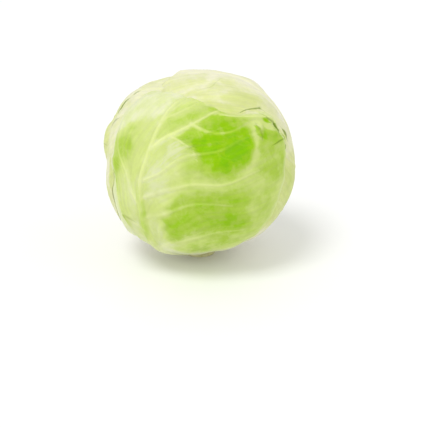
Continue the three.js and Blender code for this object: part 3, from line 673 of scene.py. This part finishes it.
def fill_outline(edge, cells):
    """A square grid pressed into a leaf's outline, which every ray from the middle crosses once."""
    axis = np.linspace(-1, 1, cells + 1)
    u, v = grid(axis, axis)
    wide = np.abs(u) > np.abs(v)
    radius = np.where(wide, u, v)
    safe = np.where(radius == 0, 1, radius)
    angle = np.where(wide, math.pi / 4 * v / safe, math.pi / 2 - math.pi / 4 * u / safe)
    x, y = radius * np.cos(angle), radius * np.sin(angle)

    turn = np.arctan2(edge[:, 0], edge[:, 1])
    order = np.argsort(turn)
    turn, reach = turn[order], np.linalg.norm(edge[order], axis=1)
    turn = np.concatenate([turn - 2 * math.pi, turn, turn + 2 * math.pi])
    out = np.interp(np.arctan2(x, y), turn, np.tile(reach, 3))

    n = np.arange((cells + 1) ** 2).reshape(cells + 1, cells + 1)
    quads = np.stack([n[:-1, :-1], n[1:, :-1], n[1:, 1:], n[:-1, 1:]], axis=-1).reshape(-1, 4)
    rim = np.concatenate([n[:-1, 0], n[-1, :-1], n[:0:-1, -1], n[0, :0:-1]])
    return columns(x, y) * out[:, None], quads, rim


def vein_relief(leaf, p, slow, quick):
    """Height of the rib, veins and net of a leaf, and the fields that colour them and their halo."""
    rib, tint = leaf.ridge(leaf.rib, RIB, p)
    relief = slow * rib
    tint *= lerp(*RIB_PLAINNESS, smoothstep(p[:, 1], *RIB_SHOWS))
    hollow, halo = np.ones(len(p)), np.zeros(len(p))
    for plainness, line in [(RIB_HALO, leaf.rib)] + leaf.veins:
        distance, _, along = nearest_on_line(line, p, reach=VEIN_SEARCH)
        hollow = np.minimum(hollow, smoothstep(distance, *HOLLOW_REACH))
        halo = np.maximum(halo, plainness * (1 - along) * fade(distance, *HALO_REACH))
    # Along each crest line the tint is a painted highlight.
    for lines, size in ((leaf.veins, VEIN), (leaf.highlight_crests, HIGHLIGHT_CREST), (leaf.twigs, TWIG)):
        for plainness, line in lines:
            height, colour = leaf.ridge(line, size, p)
            relief = np.maximum(relief, quick * height)
            tint = np.maximum(tint, plainness * colour)
    wander = NET_WANDER * leaf.wander(p, NET_WAVE, NET_SEEDS)
    border = cell_net(p + wander, NET_CELL, CELL_SEED + leaf.seed)
    net = fade(border, 0.0, NET_LINE)
    relief = np.maximum(relief, quick * NET_RELIEF * net)
    return relief + quick * HOLLOW_RELIEF * hollow, {"vein": tint, "net": net, "halo": halo}


def leaf_mesh(leaf):
    """A blade wrapped on what lies below it: two sides and the wall between them."""
    p, quads, rim = fill_outline(leaf.fine_edge, leaf.cells)
    direction = leaf.to_direction(p)
    depth = np.maximum(leaf.depth(p, fine=True), 0)
    under = covered(leaf, direction)
    slow, quick, close = (fade(under, *depths) for depths in FADES)
    below = air = LAYER_GAP
    for other in leaves[:leaf.layer]:
        lift, beyond = other.lift(direction)
        below, air = below + lift, air + beyond
    hug = fade(depth, 0, HUG_REACH)

    relief, fields = vein_relief(leaf, p, slow, quick)
    relief *= smoothstep(depth, *RELIEF_INSET)
    creased, across, crease_width, crease_shade = leaf.creased(p)
    streaks = 1 - leaf.spread(leaf.calm, p, 0.0)
    grain = streaks * leaf.grain(p, *GRAIN)
    stand = slow * (leaf.swell(p) * (1 - HUG_SHARE * hug) + leaf.margin_lift(p, depth))
    stand += quick * leaf.fold_height(p) + close * creased
    stand += quick * GRAIN_RELIEF * grain * smoothstep(depth, 0, GRAIN_INSET)
    inner = heart_radius(direction) + below + stand - HUG_SHARE * hug * air
    blade = lerp(MARGIN_BLADE, leaf.blade(p), smoothstep(depth, *BLADE_INSET))
    groove = close * np.clip(GROOVE_SHARE * crease_width, 0, GROOVE_DEEPEST)
    groove *= fade(np.abs(across), 0, GROOVE_REACH)
    outer = inner + blade + relief - groove * smoothstep(depth, *GROOVE_INSET)

    lower = len(p)
    places = np.vstack([direction * outer[:, None], direction * inner[:, None]])
    places[:, 2] += CENTRE_HEIGHT
    ahead = np.roll(rim, -1)
    wall = columns(rim, rim + lower, ahead + lower, ahead)
    faces = np.vstack([quads[:, ::-1], quads + lower, wall])
    fields |= {
        "edge": depth, "crease": across, "crease_width": crease_width, "crease_shade": crease_shade,
        "tone": leaf.spread(leaf.patches, p, leaf.base_tone), "wisp": leaf.spread(leaf.wisps, p, WISP_START),
        "base": smoothstep(-p[:, 1], *BASE_REACH), "grain": grain,
        "fine_grain": streaks * leaf.grain(p, *FINE_GRAIN),
    }
    both_sides = {key: np.tile(value, 2) for key, value in fields.items()}
    return add_mesh(leaf.name + "_fine", places, faces.tolist(), both_sides)


SHARP_ANGLE = 55


def add_mesh(name, places, faces, fields):
    """A smooth mesh of places in millimetres, with fields for its material."""
    mesh = bpy.data.meshes.new(name)
    mesh.from_pydata((places * MM).tolist(), [], faces)
    for key, values in fields.items():
        attribute = mesh.attributes.new(key, "FLOAT", "POINT")
        attribute.data.foreach_set("value", np.asarray(values, np.float32))
    mesh.update()
    mesh.polygons.foreach_set("use_smooth", np.ones(len(mesh.polygons), bool))
    mesh.set_sharp_from_angle(angle=math.radians(SHARP_ANGLE))
    return add_thing(name, mesh)


def add_thing(name, data):
    thing = bpy.data.objects.new(name, data)
    bpy.context.scene.collection.objects.link(thing)
    return thing


def polar_mesh(name, place, fields, rings, around):
    """A closed round body: place(share, turn) gives its surface, from share 0 at the top to 1 at the foot."""
    turns = np.arange(around) * 2 * math.pi / around
    shares = np.linspace(0, 1, rings + 1)
    share, turn = grid(shares[1:-1], turns)
    share, turn = np.concatenate([[0], share, [1]]), np.concatenate([[0], turn, [0]])
    places = place(share, turn)
    n = 1 + np.arange((rings - 1) * around).reshape(rings - 1, around)
    after = np.roll(n, -1, axis=1)
    quads = np.stack([n[:-1], n[1:], after[1:], after[:-1]], axis=-1).reshape(-1, 4)
    top = columns(0 * n[0], n[0], after[0])
    foot = columns(0 * n[0] + len(share) - 1, after[-1], n[-1])
    fields = {key: np.full(len(share), value) for key, value in fields.items()}
    return add_mesh(name, places, quads.tolist() + top.tolist() + foot.tolist(), fields)


def heart_mesh():
    """The dense heart, with a step where each of its outer leaves ends."""
    def place(share, turn):
        polar = share * math.pi
        level = np.sin(polar)
        direction = columns(np.sin(turn) * level, -np.cos(turn) * level, np.cos(polar))
        quarter_turned = direction[:, [1, 0, 2]] * (1, -1, 1)
        steps = np.zeros(len(share))
        for leaf in leaves[:HEART_STEPS]:
            depth = leaf.depth(leaf.to_pattern(quarter_turned))
            steps += HEART_STEP * smoothstep(depth, -0.5, 1.5)
        places = direction * (heart_radius(direction) - HEART_INSET + steps)[:, None]
        places[:, 2] += CENTRE_HEIGHT
        return places
    return polar_mesh("heart_fine", place, {"tone": 0.1, "edge": 9, "crease": 9}, rings=90, around=140)


def stem_mesh():
    """The cut stem: a round stub with scars on its side and rings on its foot."""
    top = CENTRE_HEIGHT - HEART_DOWN - STEM_GAP
    profile = np.array([
        (0, top), (STEM_TOP - 0.8, top), (STEM_TOP - 0.2, top - 0.6), (STEM_TOP - 0.1, top * 0.6),
        (STEM_FOOT - 0.1, 1.2), (STEM_FOOT - 0.35, 0.35), (STEM_FOOT - 1.0, 0.02), (0, 0.02),
    ])
    travelled = np.concatenate([[0], np.cumsum(np.linalg.norm(np.diff(profile, axis=0), axis=1))])
    at = travelled / travelled[-1]

    def place(share, turn):
        radius, height = np.interp(share, at, profile[:, 0]), np.interp(share, at, profile[:, 1])
        side = smoothstep(radius, STEM_FOOT - 2, STEM_FOOT)
        scars = 0.25 * np.sin(turn * 5 + height * 0.5) + 0.15 * np.sin(turn * 11 + 1)
        radius = radius - side * (0.35 + scars * smoothstep(height, 0, 2))
        foot = fade(height, 0.02, 0.1) * smoothstep(radius, 0, 2)
        grooves = 0.05 * (1 + np.sin(radius * 5 + 0.6 * np.sin(turn * 3))) * foot * (radius < STEM_FOOT - 2)
        return columns(radius * np.sin(turn), -radius * np.cos(turn), height + grooves)
    return polar_mesh("stem_fine", place, {}, rings=120, around=96)


# ---- Materials ----

def linear(colour):
    return tuple(c / 255 / 12.92 if c <= 10 else ((c / 255 + 0.055) / 1.055) ** 2.4 for c in colour) + (1.0,)


SKIN = {
    "Specular IOR Level": 0.07, "Sheen Weight": 0.15, "Sheen Roughness": 0.25,
    "Subsurface Radius": (1.0, 1.0, 0.35), "Subsurface Scale": 0.0025,
}


class Nodes:
    """A material's node tree, built one node at a time."""

    def __init__(self, name, roughness, subsurface):
        self.material = bpy.data.materials.new(name)
        self.material.use_nodes = True
        self.tree = self.material.node_tree
        self.skin = self.tree.nodes["Principled BSDF"].inputs
        for key, value in (SKIN | {"Roughness": roughness, "Subsurface Weight": subsurface}).items():
            self.put(self.skin[key], value)
        self.object_place = self.add("ShaderNodeTexCoord").outputs["Object"]

    def add(self, kind, inputs=(), **settings):
        """A new node with its settings, and with values or links in its inputs."""
        node = self.tree.nodes.new(kind)
        for key, value in settings.items():
            setattr(node, key, value)
        for key, value in dict(inputs).items():
            self.put(node.inputs[key], value)
        return node

    def put(self, socket, value):
        if isinstance(value, bpy.types.NodeSocket):
            self.tree.links.new(value, socket)
        else:
            socket.default_value = value

    def field(self, name):
        return self.add("ShaderNodeAttribute", attribute_name=name).outputs["Fac"]

    def math(self, operation, a, b=0.0, c=0.0):
        return self.add("ShaderNodeMath", {0: a, 1: b, 2: c}, operation=operation).outputs[0]

    def stretch(self, value, low, high, to_low=0.0, to_high=1.0):
        """A value carried smoothly from one range to another."""
        inputs = {"Value": value, "From Min": low, "From Max": high, "To Min": to_low, "To Max": to_high}
        return self.add("ShaderNodeMapRange", inputs, interpolation_type="SMOOTHSTEP").outputs["Result"]

    def noise(self, scale, detail=3.0, roughness=0.5, stretch=(1, 1, 1)):
        place = self.add("ShaderNodeMapping", {"Vector": self.object_place, "Scale": stretch})
        inputs = {"Vector": place.outputs[0], "Scale": scale, "Detail": detail, "Roughness": roughness}
        return self.add("ShaderNodeTexNoise", inputs).outputs["Fac"]

    def mix(self, share, a, b):
        return self.add("ShaderNodeMix", {"Factor": share, 6: a, 7: b}, data_type="RGBA").outputs[2]

    def bump(self, height, strength, distance):
        inputs = {"Height": height, "Strength": strength, "Distance": distance}
        self.put(self.skin["Normal"], self.add("ShaderNodeBump", inputs).outputs["Normal"])


def leaf_material(name, colours):
    """A tone picks the colour; wisps, veins, crest highlights, and crease and furrow shade are painted over
    it.
    """
    n = Nodes(name, roughness=0.5, subsurface=0.15)
    cloud = n.noise(*CLOUD)
    speck = n.noise(*SPECK)
    mottle = n.stretch(n.noise(*MOTTLE), 0.3, 0.7, -MOTTLE_TONE, MOTTLE_TONE)
    grain, fine_grain = n.field("grain"), n.field("fine_grain")

    greenness = n.math("MAXIMUM", n.math("SUBTRACT", n.field("tone"), GREEN_FROM), 0.0)
    tone = n.math("ADD", n.field("tone"), n.stretch(cloud, 0.3, 0.7, -CLOUD_TONE, CLOUD_TONE))
    tone = n.math("MULTIPLY_ADD", greenness, mottle, tone)
    for field, amount in TONE_SHIFTS.items():
        tone = n.math("MULTIPLY_ADD", n.field(field), amount, tone)
    shades = [linear(colour) for colour in colours["ramp"]]
    colour = palest = shades[0]
    for (low, high), shade in zip(TONE_STEPS, shades[1:]):
        colour = n.mix(n.stretch(tone, low, high), colour, shade)

    streak = n.stretch(n.math("ADD", grain, fine_grain), 0.0, 1.2, 0.0, 0.6)
    colour = n.mix(n.math("MULTIPLY", n.field("wisp"), streak), colour, palest)
    # The vein field also carries the highlight painted along each crest.
    veins = n.math("MULTIPLY", n.field("vein"), n.stretch(fine_grain, -0.8, 0.6, 0.7, 1.0))
    veins = n.math("MAXIMUM", veins, n.math("MULTIPLY", n.field("net"), NET_TINT))
    vein_colour = linear(colours["vein"])
    colour = n.mix(veins, colour, n.mix(n.stretch(tone, 0.5, 1.1), vein_colour, linear(DEEP_VEIN)))
    colour = n.mix(n.stretch(n.field("edge"), 0.2, 2.0, EDGE_PALENESS, 0.0), colour, vein_colour)
    colour = n.mix(n.stretch(speck, 0.62, 0.8, 0.0, SPECK_SHARE), colour, shades[1])
    # Shade painted in the creases: darkest along each one's middle, fading out by its half width.
    width = n.math("MAXIMUM", n.field("crease_width"), 0.02)
    share = n.math("DIVIDE", n.math("ABSOLUTE", n.field("crease")), width)
    crease = n.math("MULTIPLY", n.stretch(share, 0.1, 1.2, 1.0, 0.0), n.field("crease_shade"))
    colour = n.mix(crease, colour, linear(colours["crease"]))
    # Painted shade where the streaks dip.
    furrow_shade = n.stretch(n.math("MULTIPLY_ADD", grain, 0.3, fine_grain), -1.3, 1.3, 0.0, FURROW_DARKNESS)
    colour = n.mix(furrow_shade, colour, linear(SHADE))

    n.put(n.skin["Base Color"], colour)
    n.put(n.skin["Roughness"], n.stretch(cloud, 0.3, 0.7, *WAX_ROUGHNESS))
    n.bump(n.math("ADD", speck, n.math("MULTIPLY", fine_grain, 0.4)), 0.3, 0.0003)
    return n.material


def stem_material():
    n = Nodes("cut_stem", roughness=0.7, subsurface=0.1)
    fibre = n.noise(300, 3, 0.6, (1, 1, 0.15))
    cloud = n.noise(60, 3, 0.5)
    colour = n.mix(n.stretch(cloud, 0.35, 0.65), linear((226, 222, 180)), linear((206, 204, 150)))
    colour = n.mix(n.stretch(fibre, 0.5, 0.75, 0.0, 0.5), colour, linear((186, 170, 110)))
    n.put(n.skin["Base Color"], colour)
    n.bump(fibre, 0.4, 0.0005)
    return n.material


def floor_material():
    n = Nodes("pale_floor", roughness=0.35, subsurface=0.0)
    darker, lighter = (0.95, 0.95, 0.95, 1), (0.965, 0.965, 0.965, 1)
    n.put(n.skin["Base Color"], n.mix(n.noise(3, 2), darker, lighter))
    return n.material


# ---- The head ----

def dress(thing, node, material):
    """Put a piece, with its material, in the place of a node of the frame."""
    thing.data.materials.append(material)
    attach(thing, "root")
    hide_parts(node)


for leaf in leaves:
    dress(leaf_mesh(leaf), leaf.name, leaf_material(leaf.name + "_skin", leaf.colours))
dress(heart_mesh(), "heart", leaf_material("heart_skin", INNER))
dress(stem_mesh(), "stem_stub", stem_material())


# ---- Floor, light and camera, in metres ----

FLOOR = 4.0
WORLD_STRENGTH = 0.74
SUNS = [  # name, the way to it, width in degrees, strength
    ("key", (-0.35, -0.4, 1.0), 25, 1.18),
    ("fill", (0.9, -0.3, 0.5), 50, 0.27),
    ("front", (-0.3, -1.0, 0.12), 60, 0.25),
]
# The photograph has 427 x 428 pixels. The head's middle stands at this pixel, at this scale.
PHOTO_CENTRE = (213.5, 214.0)
HEAD_PIXEL = (199.0, 163.5)
MM_PER_PIXEL = 0.9
CAMERA_RISE = math.radians(22)
CAMERA_DISTANCE = 1.067
CAMERA_LENS = 100


def add_floor():
    corners = [(-FLOOR, -FLOOR, 0), (FLOOR, -FLOOR, 0), (FLOOR, FLOOR, 0), (-FLOOR, FLOOR, 0)]
    mesh = bpy.data.meshes.new("floor")
    mesh.from_pydata(corners, [], [(0, 1, 2, 3)])
    mesh.materials.append(floor_material())
    add_thing("floor", mesh)


def add_sun(name, towards, softness, strength):
    light = bpy.data.lights.new(name, "SUN")
    light.angle = math.radians(softness)
    light.energy = strength
    add_thing(name, light).rotation_euler = Vector(towards).to_track_quat("Z", "Y").to_euler()


def add_world(strength):
    world = bpy.data.worlds.new("studio")
    world.use_nodes = True
    light = world.node_tree.nodes["Background"].inputs
    light["Color"].default_value, light["Strength"].default_value = (1, 1, 1, 1), strength
    bpy.context.scene.world = world


def add_camera():
    """A camera where the photograph's was."""
    forward = Vector((0, math.cos(CAMERA_RISE), -math.sin(CAMERA_RISE)))
    upward = Vector((0, math.sin(CAMERA_RISE), math.cos(CAMERA_RISE)))
    aside, down = ((a - b) * MM_PER_PIXEL * MM for a, b in zip(PHOTO_CENTRE, HEAD_PIXEL))
    aim = Vector((aside, 0, CENTRE_HEIGHT * MM)) - down * upward
    data = bpy.data.cameras.new("camera")
    data.lens = CAMERA_LENS
    data.sensor_fit = "HORIZONTAL"
    camera = add_thing("camera", data)
    camera.location = aim - CAMERA_DISTANCE * forward
    camera.rotation_euler = forward.to_track_quat("-Z", "Y").to_euler()
    bpy.context.scene.camera = camera


add_floor()
add_world(WORLD_STRENGTH)
for sun in SUNS:
    add_sun(*sun)
add_camera()
bpy.context.scene.view_settings.view_transform = "Standard"
